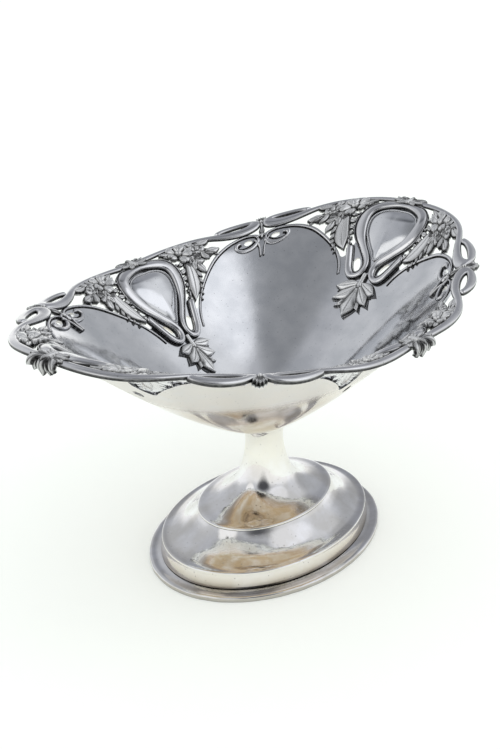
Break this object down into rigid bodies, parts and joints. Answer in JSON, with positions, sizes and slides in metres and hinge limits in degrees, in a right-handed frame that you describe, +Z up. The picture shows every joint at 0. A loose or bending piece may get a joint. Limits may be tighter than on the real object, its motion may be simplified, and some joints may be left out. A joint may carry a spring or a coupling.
{
  "type": "pedestal dish",
  "caption": "Oval pierced silver dish with a saddle-shaped rim of scrolled ribbons, leaf and flower mounts in the bowl, and a stepped oval foot on a slim stem.",
  "frame": {"origin": "centre of the foot's resting face", "axes": "+X along the length of the dish, +Z up through the stem"},
  "size_m": [0.2558, 0.171, 0.1376],
  "materials": {
    "polished_silver": "polished silver with fine wear scratches",
    "cast_silver": "cast and chased silver with dark tarnish in the recesses",
    "foot_silver": "polished silver, slightly warm, with light scratches and pits"
  },
  "bodies": {
    "root": {"foot_wire": "foot_silver", "lower_foot_dome": "foot_silver", "upper_foot_and_stem": "foot_silver", "bowl_sheet": "polished_silver", "cartouche_frame_right": "cast_silver", "shield_right": "polished_silver", "leaf_drop_right": "cast_silver", "knot_leaf_right": "cast_silver", "panel_scroll_back_right": "cast_silver", "corner_shell_back_right": "cast_silver", "rim_ribbon_right_a": "cast_silver", "flower_spray_right_a": "cast_silver", "rim_ribbon_right_b": "cast_silver", "flower_spray_right_b": "cast_silver", "cartouche_frame_back": "cast_silver", "shield_back": "polished_silver", "leaf_drop_back": "cast_silver", "knot_leaf_back": "cast_silver", "panel_scroll_back_left": "cast_silver", "corner_shell_back_left": "cast_silver", "rim_ribbon_back_a": "cast_silver", "flower_spray_back_a": "cast_silver", "rim_ribbon_back_b": "cast_silver", "flower_spray_back_b": "cast_silver", "cartouche_frame_left": "cast_silver", "shield_left": "polished_silver", "leaf_drop_left": "cast_silver", "knot_leaf_left": "cast_silver", "panel_scroll_front_left": "cast_silver", "corner_shell_front_left": "cast_silver", "rim_ribbon_left_a": "cast_silver", "flower_spray_left_a": "cast_silver", "rim_ribbon_left_b": "cast_silver", "flower_spray_left_b": "cast_silver", "cartouche_frame_front": "cast_silver", "shield_front": "polished_silver", "leaf_drop_front": "cast_silver", "knot_leaf_front": "cast_silver", "panel_scroll_front_right": "cast_silver", "corner_shell_front_right": "cast_silver", "rim_ribbon_front_a": "cast_silver", "flower_spray_front_a": "cast_silver", "rim_ribbon_front_b": "cast_silver", "flower_spray_front_b": "cast_silver"}
  },
  "joints": []
}
